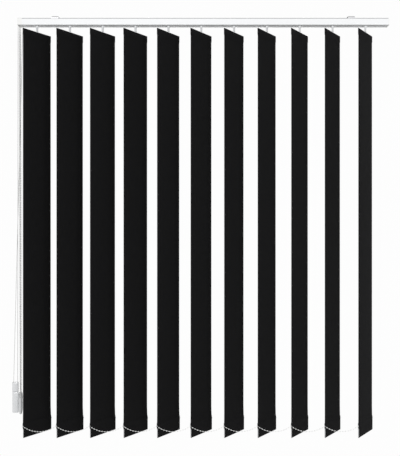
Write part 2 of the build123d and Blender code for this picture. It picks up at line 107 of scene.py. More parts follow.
# %% Group helpers
def group(name, inputs, outputs):
    """A shader node group with named inputs and outputs."""
    made = bpy.data.node_groups.new(name, "ShaderNodeTree")
    for label, kind, default in inputs:
        made.interface.new_socket(label, in_out="INPUT", socket_type=kind).default_value = default
    for label, kind in outputs:
        made.interface.new_socket(label, in_out="OUTPUT", socket_type=kind)
    return made, made.nodes.new("NodeGroupInput"), made.nodes.new("NodeGroupOutput")


def maths(tree, operation, first, second=0.5):
    """A Math node on two values, each a socket or a plain number."""
    node = tree.nodes.new("ShaderNodeMath")
    node.operation = operation
    for socket, value in zip(node.inputs, (first, second)):
        if isinstance(value, (int, float)):
            socket.default_value = value
        else:
            tree.links.new(value, socket)
    return node.outputs[0]


# %% [markdown]
# Paint and moulded plastic are never quite flat or quite one tone. An image could show that, but
# noise needs no picture and has no seams. A fine noise gives the height and a broad one the tone.

# %% Grain
grain, grain_in, grain_out = group(
    "grain",
    [("Fine scale", "NodeSocketFloat", 900.0), ("Broad scale", "NodeSocketFloat", 9.0)],
    [("Height", "NodeSocketFloat"), ("Tone", "NodeSocketFloat")],
)
grain_place = grain.nodes.new("ShaderNodeTexCoord")
for label, detail in (("Fine", 2.0), ("Broad", 3.0)):
    noise = grain.nodes.new("ShaderNodeTexNoise")
    noise.inputs["Detail"].default_value = detail
    grain.links.new(grain_place.outputs["Object"], noise.inputs["Vector"])
    grain.links.new(grain_in.outputs[f"{label} scale"], noise.inputs["Scale"])
    target = "Height" if label == "Fine" else "Tone"
    grain.links.new(noise.outputs["Fac"], grain_out.inputs[target])
print("grain puts out:", [socket.name for socket in grain_out.inputs if socket.name])

# %% [markdown]
# Where two sets of threads cross, one bulges over the other. Modelled threads would take millions
# of faces, so two waves that are multiplied give the same chequer of bumps. Yarn also varies in
# thickness. A noise that is stretched along the thread shows that, and weavers call it slub.

# %% Thread
SLUB_ACROSS = 0.37
SLUB_ALONG = 0.021
thread, thread_in, thread_out = group(
    "thread",
    [
        ("Across", "NodeSocketFloat", 0.0),
        ("Along", "NodeSocketFloat", 0.0),
        ("Slub scale", "NodeSocketFloat", 60.0),
    ],
    [("Height", "NodeSocketFloat"), ("Slub", "NodeSocketFloat")],
)
across_wave = maths(thread, "SINE", maths(thread, "MULTIPLY", thread_in.outputs["Across"], pi))
along_wave = maths(thread, "SINE", maths(thread, "MULTIPLY", thread_in.outputs["Along"], pi))
crossing = maths(thread, "MULTIPLY", across_wave, along_wave)
bumps = maths(thread, "ADD", maths(thread, "MULTIPLY", crossing, 0.5), 0.5)
slub_place = thread.nodes.new("ShaderNodeCombineXYZ")
slub_across = maths(thread, "MULTIPLY", thread_in.outputs["Across"], SLUB_ACROSS)
slub_along = maths(thread, "MULTIPLY", thread_in.outputs["Along"], SLUB_ALONG)
thread.links.new(slub_across, slub_place.inputs["X"])
thread.links.new(slub_along, slub_place.inputs["Y"])
slub = thread.nodes.new("ShaderNodeTexNoise")
slub.inputs["Detail"].default_value = 2.0
thread.links.new(slub_place.outputs["Vector"], slub.inputs["Vector"])
thread.links.new(thread_in.outputs["Slub scale"], slub.inputs["Scale"])
thread.links.new(bumps, thread_out.inputs["Height"])
thread.links.new(slub.outputs["Fac"], thread_out.inputs["Slub"])
print("groups:", [made.name for made in bpy.data.node_groups])

# %% [markdown]
# ## Finishes
# Each finish starts from the Principled shader. Its plain numbers are set on the sockets, and the
# groups only vary the colour, the roughness and the bump over the surface.


# %% Finish helpers
def finish(name, colour, roughness, **settings):
    """A material with a Principled shader and its plain settings."""
    made = bpy.data.materials.new(name)
    made.use_nodes = True
    shader = made.node_tree.nodes["Principled BSDF"]
    shader.inputs["Base Color"].default_value = (*colour, 1)
    shader.inputs["Roughness"].default_value = roughness
    for label, value in settings.items():
        shader.inputs[label.replace("_", " ")].default_value = value
    return made, made.node_tree, shader


def mixed(tree, mask, low, high):
    """Two colours mixed by a mask, each a socket or a plain colour."""
    mix = tree.nodes.new("ShaderNodeMix")
    mix.data_type = "RGBA"
    for label, colour in (("A", low), ("B", high)):
        if isinstance(colour, bpy.types.NodeSocket):
            tree.links.new(colour, mix.inputs[label])
        else:
            mix.inputs[label].default_value = (*colour, 1)
    tree.links.new(mask, mix.inputs["Factor"])
    return mix.outputs["Result"]


def tinted(tree, shader, mask, low, high):
    """Let a mask move the base colour between two colours."""
    tree.links.new(mixed(tree, mask, low, high), shader.inputs["Base Color"])


def bumped(tree, shader, height, depth, strength=0.5):
    """Feed a height, in millimetres deep, to the shader's normal."""
    bump = tree.nodes.new("ShaderNodeBump")
    bump.inputs["Distance"].default_value = depth * MM
    bump.inputs["Strength"].default_value = strength
    tree.links.new(height, bump.inputs["Height"])
    tree.links.new(bump.outputs["Normal"], shader.inputs["Normal"])


def moulded(name, colour, roughness, fine=900.0, depth=0.05, shade=0.93, **settings):
    """A plastic, painted or plated surface: a little uneven in height and in tone."""
    made, tree, shader = finish(name, colour, roughness, **settings)
    effect = tree.nodes.new("ShaderNodeGroup")
    effect.node_tree = grain
    effect.inputs["Fine scale"].default_value = fine
    tinted(tree, shader, effect.outputs["Tone"], [c * shade for c in colour], colour)
    bumped(tree, shader, effect.outputs["Height"], depth)
    return made


# %% [markdown]
# The real rail is painted aluminium, the caps, hooks and carriers are moulded plastic, the
# brackets are plated steel and the two weights are glossy. They differ only in colour, gloss and
# grain, so one helper makes them all. The whites are kept under full white, because a white
# surface at full strength loses its edges in the light.

# %% Plastics, paint and metals
rail_paint = moulded(
    "rail_paint", (0.85, 0.86, 0.87), 0.34, fine=1500.0, depth=0.03, shade=0.98, Coat_Weight=0.2
)
white_plastic = moulded("white_plastic", (0.86, 0.86, 0.85), 0.4)
weight_plastic = moulded(
    "weight_plastic", (0.74, 0.75, 0.76), 0.16, fine=500.0, depth=0.03, Coat_Weight=0.5
)
fitting_plastic = moulded("fitting_plastic", (0.78, 0.79, 0.8), 0.38)
carrier_plastic = moulded("carrier_plastic", (0.7, 0.71, 0.72), 0.45)
pulley_plastic = moulded("pulley_plastic", (0.45, 0.46, 0.48), 0.45)
zinc = moulded("zinc", (0.5, 0.5, 0.51), 0.38, fine=260.0, depth=0.04, shade=0.85, Metallic=1.0)
drawn_aluminium = moulded(
    "drawn_aluminium", (0.78, 0.79, 0.8), 0.3, fine=700.0, depth=0.04, Metallic=1.0
)
print("finishes so far:", len(bpy.data.materials))

# %% [markdown]
# The brackets grip a groove along the rail's front and back. Its walls are painted dark grey as
# shade, which shows as a thin grey line along the rail. The rail's mesh already has the groove,
# and a mask on the object's own height and depth finds it.

# %% Clip groove
GROOVE_LOW = -10.25
GROOVE_HIGH = -8.55
GROOVE_SKIN = 16.95
# The groove's walls are painted this dark grey as shade.
GROOVE_PAINTED_SHADE = (0.3, 0.3, 0.31)
rail_tree = rail_paint.node_tree
rail_colour = rail_tree.nodes["Principled BSDF"].inputs["Base Color"]
rail_place = rail_tree.nodes.new("ShaderNodeTexCoord")
rail_parts = rail_tree.nodes.new("ShaderNodeSeparateXYZ")
rail_tree.links.new(rail_place.outputs["Object"], rail_parts.inputs["Vector"])
above = maths(rail_tree, "GREATER_THAN", rail_parts.outputs["Z"], GROOVE_LOW * MM)
below = maths(rail_tree, "LESS_THAN", rail_parts.outputs["Z"], GROOVE_HIGH * MM)
off_centre = maths(rail_tree, "ABSOLUTE", rail_parts.outputs["Y"])
behind = maths(rail_tree, "LESS_THAN", off_centre, GROOVE_SKIN * MM)
groove_shade_mask = maths(rail_tree, "MULTIPLY", maths(rail_tree, "MULTIPLY", above, below), behind)
groove_shaded = mixed(rail_tree, groove_shade_mask, rail_colour.links[0].from_socket, GROOVE_PAINTED_SHADE)
rail_tree.links.new(groove_shaded, rail_colour)
print("clip groove:", round(GROOVE_HIGH - GROOVE_LOW, 1), "mm high")

# %% [markdown]
# The slats are a close, matt blackout cloth. Their weave follows the cloth round its folds, so it
# reads a UV map that holds the flat cloth's own measure in metres: width in U and length in V.
# Where the pockets are closed, a row of short welds presses the cloth flat, and that row is drawn
# from the same measure. The colour follows the weave too: the low places between the threads are
# painted darker as shade.

# %% Slat cloth
THREAD_PITCH = 0.85
WELD_PITCH = 3.2
WELD_HALF_HEIGHT = 0.9
WELD_START = -0.35
WELD_GLOSS = 0.35
WEAVE_DEPTH = 0.25
WEAVE_STRENGTH = 0.8
SLUB_SCALE = 1.3
SHADE_AND_SLUB_TONE = 2.0
CLOTH_ROUGHNESS = 0.86
CLOTH_GLOSS = 0.04
CLOTH_SHEEN = 0.01
CLOTH_DARK = (0.0032, 0.0032, 0.0034)
CLOTH_LIGHT = (0.0125, 0.0125, 0.013)


def slat_cloth(weld_lengths):
    """The slats' cloth, with a row of welds at each of these lengths along it, in metres."""
    made, tree, shader = finish(
        "slat_cloth",
        CLOTH_LIGHT,
        CLOTH_ROUGHNESS,
        Sheen_Weight=CLOTH_SHEEN,
        Sheen_Roughness=0.5,
        Specular_IOR_Level=CLOTH_GLOSS,
    )
    flat = tree.nodes.new("ShaderNodeUVMap")
    flat.uv_map = "flat"
    parts = tree.nodes.new("ShaderNodeSeparateXYZ")
    tree.links.new(flat.outputs["UV"], parts.inputs["Vector"])
    effect = tree.nodes.new("ShaderNodeGroup")
    effect.node_tree = thread
    per_metre = 1 / (THREAD_PITCH * MM)
    tree.links.new(maths(tree, "MULTIPLY", parts.outputs["X"], per_metre), effect.inputs["Across"])
    tree.links.new(maths(tree, "MULTIPLY", parts.outputs["Y"], per_metre), effect.inputs["Along"])
    effect.inputs["Slub scale"].default_value = SLUB_SCALE
    per_weld = 2 * pi / (WELD_PITCH * MM)
    dash = maths(tree, "SINE", maths(tree, "MULTIPLY", parts.outputs["X"], per_weld))
    dashes = maths(tree, "GREATER_THAN", dash, WELD_START)
    rows = 0.0
    for length in weld_lengths:
        away = maths(tree, "ABSOLUTE", maths(tree, "SUBTRACT", parts.outputs["Y"], length))
        rows = maths(tree, "MAXIMUM", rows, maths(tree, "LESS_THAN", away, WELD_HALF_HEIGHT * MM))
    welds = maths(tree, "MULTIPLY", rows, dashes)
    kept = maths(tree, "SUBTRACT", 1.0, welds)
    height = maths(tree, "MULTIPLY", effect.outputs["Height"], kept)
    # The tone is the thread height times the slub: the slub varies the colour at random, and the
    # low places between the threads get the dark end, as painted shade.
    tone = maths(tree, "MULTIPLY", height, effect.outputs["Slub"])
    tinted(tree, shader, maths(tree, "MULTIPLY", tone, SHADE_AND_SLUB_TONE), CLOTH_DARK, CLOTH_LIGHT)
    bumped(tree, shader, height, WEAVE_DEPTH, WEAVE_STRENGTH)
    pressed = maths(tree, "MULTIPLY", welds, WELD_GLOSS)
    roughness = maths(tree, "SUBTRACT", CLOTH_ROUGHNESS, pressed)
    tree.links.new(roughness, shader.inputs["Roughness"])
    return made


# %% [markdown]
# The draw cord is a thin braid. A curve's own UV map runs along its length and round it, so two
# waves that cross on that map give the braid's slanting strands. The same height paints the low
# places between the strands darker, as shade.

# %% Cord braid
BRAIDS_ALONG = 900.0
BRAIDS_ROUND = 4.0
BRAID_DEPTH = 0.15
BRAID_STRENGTH = 0.6
BRAID_SHADED = (0.62, 0.62, 0.61)
BRAID_LIT = (0.84, 0.84, 0.83)


def cord_braid():
    """A braided cord: slanting strands from the curve's own UV map."""
    made, tree, shader = finish("cord_braid", (0.78, 0.78, 0.77), 0.7)
    place = tree.nodes.new("ShaderNodeTexCoord")
    parts = tree.nodes.new("ShaderNodeSeparateXYZ")
    tree.links.new(place.outputs["UV"], parts.inputs["Vector"])
    along = maths(tree, "MULTIPLY", parts.outputs["X"], BRAIDS_ALONG)
    round_it = maths(tree, "MULTIPLY", parts.outputs["Y"], BRAIDS_ROUND)
    effect = tree.nodes.new("ShaderNodeGroup")
    effect.node_tree = thread
    tree.links.new(maths(tree, "ADD", along, round_it), effect.inputs["Across"])
    tree.links.new(maths(tree, "SUBTRACT", along, round_it), effect.inputs["Along"])
    # Painted shade: the low places between the strands take the darker colour.
    tinted(tree, shader, effect.outputs["Height"], BRAID_SHADED, BRAID_LIT)
    bumped(tree, shader, effect.outputs["Height"], BRAID_DEPTH, BRAID_STRENGTH)
    return made


cord_finish = cord_braid()
print("materials:", len(bpy.data.materials))

# %% [markdown]
# ## Helpers for pieces
# A new piece starts as a bmesh, which is Blender's editable mesh in memory. The first helper turns
# it into an object whose place is in its mesh, gives it its finish and lets it ride on a body of
# the frame, so that it follows every joint.


# %% Piece helpers
SHARP_ANGLE = 40


def piece(bm, name, body, material, stands_for=(), smooth=True):
    """Make an object of a bmesh, with its material, on the body that carries it."""
    mesh = bpy.data.meshes.new(name)
    bm.to_mesh(mesh)
    bm.free()
    for face in mesh.polygons:
        face.use_smooth = smooth
    if smooth:
        mesh.set_sharp_from_angle(angle=radians(SHARP_ANGLE))
    made = bpy.data.objects.new(name, mesh)
    bpy.context.scene.collection.objects.link(made)
    made.data.materials.append(material)
    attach(made, body)
    if stands_for:
        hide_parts(*stands_for)
    return made


def copied(source, matrix):
    """A copy of a bmesh, moved by a matrix."""
    bm = source.copy()
    bmesh.ops.transform(bm, matrix=matrix, verts=bm.verts)
    return bm


def only(geometry, kind):
    """The vertices, edges or faces in what an operator gives back."""
    return [part for part in geometry if isinstance(part, kind)]


def since(bm, before):
    """The vertices that a bmesh has gained since it held only those before."""
    return [v for v in bm.verts if v not in before]


def edges_of(verts):
    """All the edges that meet these vertices, each once and always in the same order."""
    return list(dict.fromkeys(e for v in verts for e in v.link_edges))


def faces_of(verts):
    """All the faces that meet these vertices, each once and always in the same order."""
    return list(dict.fromkeys(f for v in verts for f in v.link_faces))


# %% [markdown]
# Many pieces here are moulded: a block or a turned shape whose edges are all a little round. A
# cube with a bevel gives the first and a spun profile the second. The soft edge is what catches
# the light in a render.


# %% Moulded blocks and turned shapes
def add_block(bm, low, high, edge=0.0, segments=2):
    """A block between two corners, in millimetres, with all its edges rounded."""
    size = [(b - a) * MM for a, b in zip(low, high)]
    middle = [(a + b) / 2 * MM for a, b in zip(low, high)]
    made = bmesh.ops.create_cube(bm, size=1.0)["verts"]
    bmesh.ops.scale(bm, verts=made, vec=size)
    bmesh.ops.translate(bm, verts=made, vec=middle)
    if edge:
        bmesh.ops.bevel(
            bm,
            geom=edges_of(made),
            offset=edge * MM,
            segments=segments,
            profile=0.5,
            affect="EDGES",
            material=-1,
        )


MERGE_DISTANCE = 0.001
TURNS = {
    "X": Matrix.Rotation(pi / 2, 4, "Y"),
    "Y": Matrix.Rotation(-pi / 2, 4, "X"),
    "Z": Matrix.Identity(4),
}


def add_turned(bm, profile, centre, axis="Z", steps=24, ring=False):
    """Spin (radius, height) points, in millimetres, about an axis: a closed solid or a ring."""
    before = set(bm.verts)
    verts = [bm.verts.new((r * MM, 0, z * MM)) for r, z in profile]
    ends = verts[1:] + verts[:1] if ring else verts[1:]
    edges = [bm.edges.new(pair) for pair in zip(verts, ends)]
    bmesh.ops.spin(
        bm,
        geom=verts + edges,
        cent=(0, 0, 0),
        axis=(0, 0, 1),
        angle=2 * pi,
        steps=steps,
        use_merge=True,
    )
    bmesh.ops.remove_doubles(bm, verts=since(bm, before), dist=MERGE_DISTANCE * MM)
    made = since(bm, before)
    bmesh.ops.recalc_face_normals(bm, faces=faces_of(made))
    place = Matrix.Translation([c * MM for c in centre]) @ TURNS[axis]
    bmesh.ops.transform(bm, matrix=place, verts=made)


# %% [markdown]
# Cords and chains share one kind of line: a NURBS spline through a few control points. A bevel
# makes it a round cord. With no bevel, Blender gives back the line itself as points, and a walk
# along those points places beads at an even pitch.


# %% Lines, cords and beads
def line_object(name, points, diameter):
    """A NURBS curve through control points, in millimetres, with a round section."""
    curve = bpy.data.curves.new(name, "CURVE")
    curve.dimensions = "3D"
    spline = curve.splines.new("NURBS")
    spline.points.add(len(points) - 1)
    for knot, place in zip(spline.points, points):
        knot.co = (*(c * MM for c in place), 1)
    spline.order_u = 3
    spline.use_endpoint_u = True
    spline.resolution_u = 16
    curve.bevel_depth = diameter / 2 * MM
    curve.bevel_resolution = 2
    curve.use_fill_caps = True
    made = bpy.data.objects.new(name, curve)
    bpy.context.scene.collection.objects.link(made)
    return made


def mesh_of(thing):
    """The mesh that Blender makes of a curve object, which is then dropped."""
    bpy.context.view_layer.update()
    mesh = bpy.data.meshes.new_from_object(thing)
    bpy.data.objects.remove(thing)
    return mesh


def line_points(points):
    """The spline's own line, in metres."""
    return [v.co.copy() for v in mesh_of(line_object("bare_line", points, 0)).vertices]


def length_of(line):
    """The length of a line of points."""
    return sum((b - a).length for a, b in zip(line, line[1:]))


def spaced(line, pitch):
    """Points along a line at an even pitch, in metres, from its start to its end."""
    places, left = [line[0].copy()], pitch
    for a, b in zip(line, line[1:]):
        step, gone = (b - a).length, 0.0
        while step - gone >= left:
            gone += left
            left = pitch
            places.append(a.lerp(b, gone / step))
        left -= step - gone
    return places


def beaded(points, bead, pitch, core):
    """A bmesh of a bead chain: a thin core with round beads along it, and the line it follows."""
    line = line_points(points)
    core_mesh = mesh_of(line_object("core", points, core))
    bm = bmesh.new()
    bm.from_mesh(core_mesh)
    bpy.data.meshes.remove(core_mesh)
    count = max(1, round(length_of(line) / (pitch * MM)))
    for place in spaced(line, length_of(line) / count - 1e-9):
        bmesh.ops.create_uvsphere(
            bm, u_segments=8, v_segments=6, radius=bead / 2 * MM, matrix=Matrix.Translation(place)
        )
    return bm, line


# %% [markdown]
# ## Draw cord
# One cord leaves the rail's left cap twice. Its front strand hangs to a weight, goes round inside
# it and climbs back as the rear strand. The route repeats the construction's corner points, in
# millimetres. Each long run has one more point about six diameters above its bend, which keeps the
# run straight, as in the photograph.

# %% Draw cord
CORD_DIAMETER = 1.8
draw_route = [
    (-648.5, -12.0, -33.1),
    (-653.06, -0.1, -1321.8),
    (-653.1, 0.0, -1332.6),
    (-668.3, 0.0, -1332.6),
    (-668.03, 0.04, -1321.8),
    (-636.0, 4.5, -33.1),
]
draw_cord = line_object("draw_cord_braided", draw_route, CORD_DIAMETER)
draw_cord.data.materials.append(cord_finish)
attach(draw_cord, "rail")
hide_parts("draw_cord")
draw_length = length_of(line_points(draw_route))
print("draw cord below the rail:", round(draw_length, 3), "m")

# %% [markdown]
# The cord weight is a flat moulded box in two parts: a solid body and a cap that holds the loop.
# A mould rounds the four upright corners more than the rims, so the box is bevelled twice: first
# its upright edges, then the edges that lie flat.

# %% Moulded box
CORD_WEIGHT_X = -660.7
CORD_WEIGHT_RIM = 0.8


def moulded_box(bm, width, depth, top, bottom, corner):
    """An upright box on the weight's axis, with corners rounded more than its ends."""
    before = set(bm.verts)
    low = (CORD_WEIGHT_X - width / 2, -depth / 2, bottom)
    add_block(bm, low, (CORD_WEIGHT_X + width / 2, depth / 2, top))
    edges = edges_of(since(bm, before))
    upright = [e for e in edges if abs(e.verts[0].co.z - e.verts[1].co.z) > MM]
    bmesh.ops.bevel(
        bm, geom=upright, offset=corner * MM, segments=5, profile=0.5, affect="EDGES", material=-1
    )
    edges = edges_of(since(bm, before))
    rims = [e for e in edges if abs(e.verts[0].co.z - e.verts[1].co.z) < 0.01 * MM]
    bmesh.ops.bevel(
        bm,
        geom=rims,
        offset=CORD_WEIGHT_RIM * MM,
        segments=3,
        profile=0.5,
        affect="EDGES",
        material=-1,
    )


# %% [markdown]
# The cap stands a little proud of the body. Between them the body's spigot shows as a thin dark
# recess, which is a real gap here, so that it also shows in the mesh. Two small collars of grey
# nylon guide the cord into the cap.

# %% Cord weight
CORD_WEIGHT_TOP = -1283.0
CORD_WEIGHT_WIDTH = 21.0
CORD_WEIGHT_DEPTH = 10.0
CORD_WEIGHT_HEIGHT = 108.0
CORD_WEIGHT_CAP = 34.0
CAP_CORNER, BODY_CORNER, SPIGOT_CORNER = 2.6, 2.4, 1.4
BODY_NARROWER = 0.6
SPIGOT_NARROWER = 3.0
SPIGOT_HIDDEN = 2.0
RECESS = 1.4
COLLAR_PROUD = 0.8
COLLAR_DROP = 0.5
CORD_HOLES = [(-652.9, -0.5), (-667.0, 0.2)]
COLLAR_RING = [(1.0, -0.8), (1.9, -0.8), (2.1, 0.0), (1.7, 0.5), (1.0, 0.5)]

cap_top = CORD_WEIGHT_TOP - COLLAR_PROUD
cap_low = CORD_WEIGHT_TOP - CORD_WEIGHT_CAP
body_top = cap_low - RECESS
body_low = CORD_WEIGHT_TOP - CORD_WEIGHT_HEIGHT


def weight_box(bm, narrower, top, bottom, corner):
    """A moulded box with the weight's section, made narrower all over by this much."""
    width, depth = CORD_WEIGHT_WIDTH - narrower, CORD_WEIGHT_DEPTH - narrower
    moulded_box(bm, width, depth, top, bottom, corner)


bm = bmesh.new()
weight_box(bm, 0, cap_top, cap_low, CAP_CORNER)
weight_cap = piece(
    bm, "cord_weight_cap", "rail", weight_plastic, ["cord_weight"]
)
bm = bmesh.new()
weight_box(bm, BODY_NARROWER, body_top, body_low, BODY_CORNER)
weight_body = piece(bm, "cord_weight_body", "rail", weight_plastic)
bm = bmesh.new()
spigot_top, spigot_low = cap_low + SPIGOT_HIDDEN, body_top - SPIGOT_HIDDEN
weight_box(bm, SPIGOT_NARROWER, spigot_top, spigot_low, SPIGOT_CORNER)
for x, y in CORD_HOLES:
    centre = (x, y, CORD_WEIGHT_TOP - COLLAR_DROP)
    add_turned(bm, COLLAR_RING, centre, ring=True, steps=16)
weight_inner = piece(bm, "cord_weight_spigot", "rail", pulley_plastic)
print("cord weight:", CORD_WEIGHT_HEIGHT, "mm tall with a recess of", RECESS, "mm")

# %% [markdown]
# ## Tilt chain
# The slats are turned with a loop of small beads that runs over a wheel in the cap. The loop hangs
# straight down to a drop-shaped weight. The beads could be copies on a curve, but real ones keep
# the same gap all the way, so they are placed by length along the line. Each bead has only a few
# dozen faces, because there are over four hundred of them, and smooth shading makes up for it.

# %% Tilt chain
CHAIN_BEAD = 4.4
CHAIN_PITCH = 6.0
CHAIN_CORE = 1.3
chain_route = [
    (-645.5, -7.64, -33.1),
    (-642.56, -5.35, -1309.9),
    (-642.5, -5.3, -1336.3),
    (-642.5, 5.3, -1336.3),
    (-642.56, 5.35, -1309.9),
    (-645.5, 7.64, -33.1),
]
bm, chain_line = beaded(chain_route, CHAIN_BEAD, CHAIN_PITCH, CHAIN_CORE)
tilt_chain = piece(bm, "tilt_chain_beads", "rail", white_plastic, ["tilt_chain"])
print("tilt chain below the rail:", round(length_of(chain_line), 3), "m")

# %% [markdown]
# Inside the cap the loop goes on over its wheel. That stretch is a short line of its own: up on
# one side, half round the wheel and down on the other.

# %% Chain over the wheel
arch_route = [
    (-645.5, -7.64, -33.1),
    (-645.5, -7.64, -19.25),
    (-645.5, -7.64, -11.61),
    (-645.5, 7.64, -11.61),
    (-645.5, 7.64, -19.25),
    (-645.5, 7.64, -33.1),
]
bm, arch_line = beaded(arch_route, CHAIN_BEAD, CHAIN_PITCH, CHAIN_CORE)
piece(bm, "tilt_chain_over_wheel", "rail", white_plastic)
print("tilt chain over the wheel:", round(length_of(arch_line), 3), "m")

# %% [markdown]
# The chain weight is turned, so a spun profile gives it. Its neck is slit for the chain, which
# runs round a pin. The slit is made the simple way: the neck is spun as a piece of its own, cut by
# a plane on each side, and only the two cheeks are kept.

# %% Chain weight
CHAIN_WEIGHT_X = -642.5
CHAIN_WEIGHT_TOP = -1319.0
CHAIN_WEIGHT_HEIGHT = 78.0
CHAIN_SLIT = 5.0
SLIT_DEPTH = 19.8
PIN_DEPTH = 12.0

slit_floor = CHAIN_WEIGHT_TOP - SLIT_DEPTH
drop_end = CHAIN_WEIGHT_TOP - CHAIN_WEIGHT_HEIGHT


def lifted(height, profile):
    """A profile of (radius, rise) points, with each rise counted from this height."""
    return [(radius, height + rise) for radius, rise in profile]


neck = [(0, slit_floor), (7.2, slit_floor)]
neck += lifted(CHAIN_WEIGHT_TOP, [(7.2, -12), (6.6, -4), (5.6, -1.2), (4.4, 0), (0, 0)])
drop = lifted(drop_end, [(0, 0), (2.2, 0.3), (3.6, 1.6), (5.0, 5), (6.2, 11), (6.9, 18)])
drop += lifted(drop_end, [(7.2, 26)])
drop += [(7.2, slit_floor), (0, slit_floor)]
pin = [(0, -5.4), (1.9, -5.4), (1.9, 5.4), (0, 5.4)]

bm = bmesh.new()
for side in (-1, 1):
    before = set(bm.verts)
    add_turned(bm, neck, (CHAIN_WEIGHT_X, 0, 0), steps=32)
    made = since(bm, before)
    cut = bmesh.ops.bisect_plane(
        bm,
        geom=made + edges_of(made) + faces_of(made),
        plane_co=((CHAIN_WEIGHT_X + side * CHAIN_SLIT / 2) * MM, 0, 0),
        plane_no=(-side, 0, 0),
        clear_outer=True,
    )
    bmesh.ops.holes_fill(bm, edges=only(cut["geom_cut"], bmesh.types.BMEdge), sides=0)
add_turned(bm, drop, (CHAIN_WEIGHT_X, 0, 0), steps=32)
add_turned(bm, pin, (CHAIN_WEIGHT_X, 0, CHAIN_WEIGHT_TOP - PIN_DEPTH), axis="X", steps=16)
chain_weight = piece(
    bm, "chain_weight_drop", "rail", weight_plastic, ["chain_weight"]
)
print("chain weight:", CHAIN_WEIGHT_HEIGHT, "mm tall")

# %% [markdown]
# ## Slats
# The slats hang from the carriers, all turned by one angle about their hooks. Each is made once,
# edge on about its own axis, and then moved to its place, which the frame's joints give.

# %% Slat places
SLAT_ANGLE = 55.1
SLAT_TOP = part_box("slat_01")[1].z / MM
SLAT_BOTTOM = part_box("slat_01")[0].z / MM
slat_place = {
    joint["child"]: joint["pos_m"][0]
    for joint in frame["joints"]
    if joint["child"].startswith("slat_")
}
slat_bodies = sorted(slat_place)
slat_pitch = (slat_place["slat_02"] - slat_place["slat_01"]) / MM
print("slats:", len(slat_bodies), "at a pitch of", round(slat_pitch, 1), "mm")


def on_slat(body):
    """The move from a slat's own axis, edge on, to its place and angle in the blind."""
    turn = Matrix.Rotation(radians(SLAT_ANGLE), 4, "Z")
    return Matrix.Translation((slat_place[body], 0, 0)) @ turn


# %% [markdown]
# A slat is one strip of cloth, folded back at both ends into a pocket. A flat panel with a
# thickness would miss the folds, so it is made the way it is sewn: a row of edges across the width
# is the loose end of the lower hem, and each step extrudes that row onwards. A vertex layer keeps
# the length of cloth used so far, which becomes the V of its UV map.


# %% Cloth steps
def onward(bm, row, used, move, length):
    """Extrude the leading row of the cloth, move it, and count the length used."""
    grown = bmesh.ops.extrude_edge_only(bm, edges=row)["geom"]
    verts = only(grown, bmesh.types.BMVert)
    move(verts)
    for vert in verts:
        vert[used] += length * MM
    fresh = set(verts)
    return [e for e in only(grown, bmesh.types.BMEdge) if fresh.issuperset(e.verts)]


def straight(bm, row, used, out, up, steps=1):
    """A straight run of cloth: out is through its thickness and up is along its height."""
    for _ in range(steps):
        vec = Vector((0, out * MM, up * MM)) / steps
        row = onward(
            bm,
            row,
            used,
            lambda verts: bmesh.ops.translate(bm, verts=verts, vec=vec),
            vec.length / MM,
        )
    return row


def folded(bm, row, used, height, radius, steps=6):
    """Half a turn of cloth about a line at this height."""
    turn = Matrix.Rotation(-pi / steps, 3, "X")
    for _ in range(steps):
        row = onward(
            bm,
            row,
            used,
            lambda verts: bmesh.ops.rotate(
                bm, verts=verts, cent=(0, 0, height * MM), matrix=turn
            ),
            pi * radius / steps,
        )
    return row


# %% [markdown]
# The strip starts at the weld of the lower hem. It goes down the back, round the bottom fold, up
# the front to the same weld, on to the upper weld, over the top fold and down behind it.

# %% Slat strip
SLAT_WIDTH = 127.0
CLOTH = 0.5
TOP_POCKET = 24.0
BOTTOM_POCKET = 52.0
POCKET_TAPER = 3.0
TOP_FOLD_RADIUS = 0.95
BOTTOM_FOLD_RADIUS = 1.2
TONGUE_SLOT = 4.3
FLAP_BEHIND = 0.52
POCKET_ROWS = 12
FREE_ROWS = 40
FLAP_ROWS = 2
HALF_COLUMNS = [TONGUE_SLOT, 20.0, 36.0, 50.0, SLAT_WIDTH / 2]
COLUMNS = [-x for x in reversed(HALF_COLUMNS)] + HALF_COLUMNS

top_seam = SLAT_TOP - TOP_POCKET
bottom_seam = SLAT_BOTTOM + BOTTOM_POCKET
low_fold = SLAT_BOTTOM + CLOTH / 2 + BOTTOM_FOLD_RADIUS
high_fold = SLAT_TOP - CLOTH / 2 - TOP_FOLD_RADIUS

strip = bmesh.new()
used = strip.verts.layers.float.new("used")
start = [strip.verts.new((x * MM, FLAP_BEHIND * MM, bottom_seam * MM)) for x in COLUMNS]
row = [strip.edges.new(pair) for pair in zip(start, start[1:])]
row = straight(strip, row, used, BOTTOM_FOLD_RADIUS - FLAP_BEHIND, -POCKET_TAPER)
row = straight(strip, row, used, 0, low_fold - bottom_seam + POCKET_TAPER, POCKET_ROWS)
row = folded(strip, row, used, low_fold, BOTTOM_FOLD_RADIUS)
row = straight(strip, row, used, 0, bottom_seam - POCKET_TAPER - low_fold, POCKET_ROWS)
row = straight(strip, row, used, BOTTOM_FOLD_RADIUS, POCKET_TAPER)
low_weld = row[0].verts[0][used]
row = straight(strip, row, used, 0, top_seam - bottom_seam, FREE_ROWS)
high_weld = row[0].verts[0][used]
row = straight(strip, row, used, -TOP_FOLD_RADIUS, POCKET_TAPER)
row = straight(strip, row, used, 0, high_fold - top_seam - POCKET_TAPER, FLAP_ROWS)
row = folded(strip, row, used, high_fold, TOP_FOLD_RADIUS)
row = straight(strip, row, used, 0, top_seam + POCKET_TAPER - high_fold, FLAP_ROWS)
row = straight(strip, row, used, FLAP_BEHIND - TOP_FOLD_RADIUS, -POCKET_TAPER)

# %% [markdown]
# The fold at the top is slit for the hanger's tongue. Then the strip gets what keeps real cloth
# from looking like a board. It is cupped very slightly between its pockets. The bottom weight
# pulls the hem flat, so it spreads a little there, and more at the far edge. The chain draws the
# near corner in under its lug.

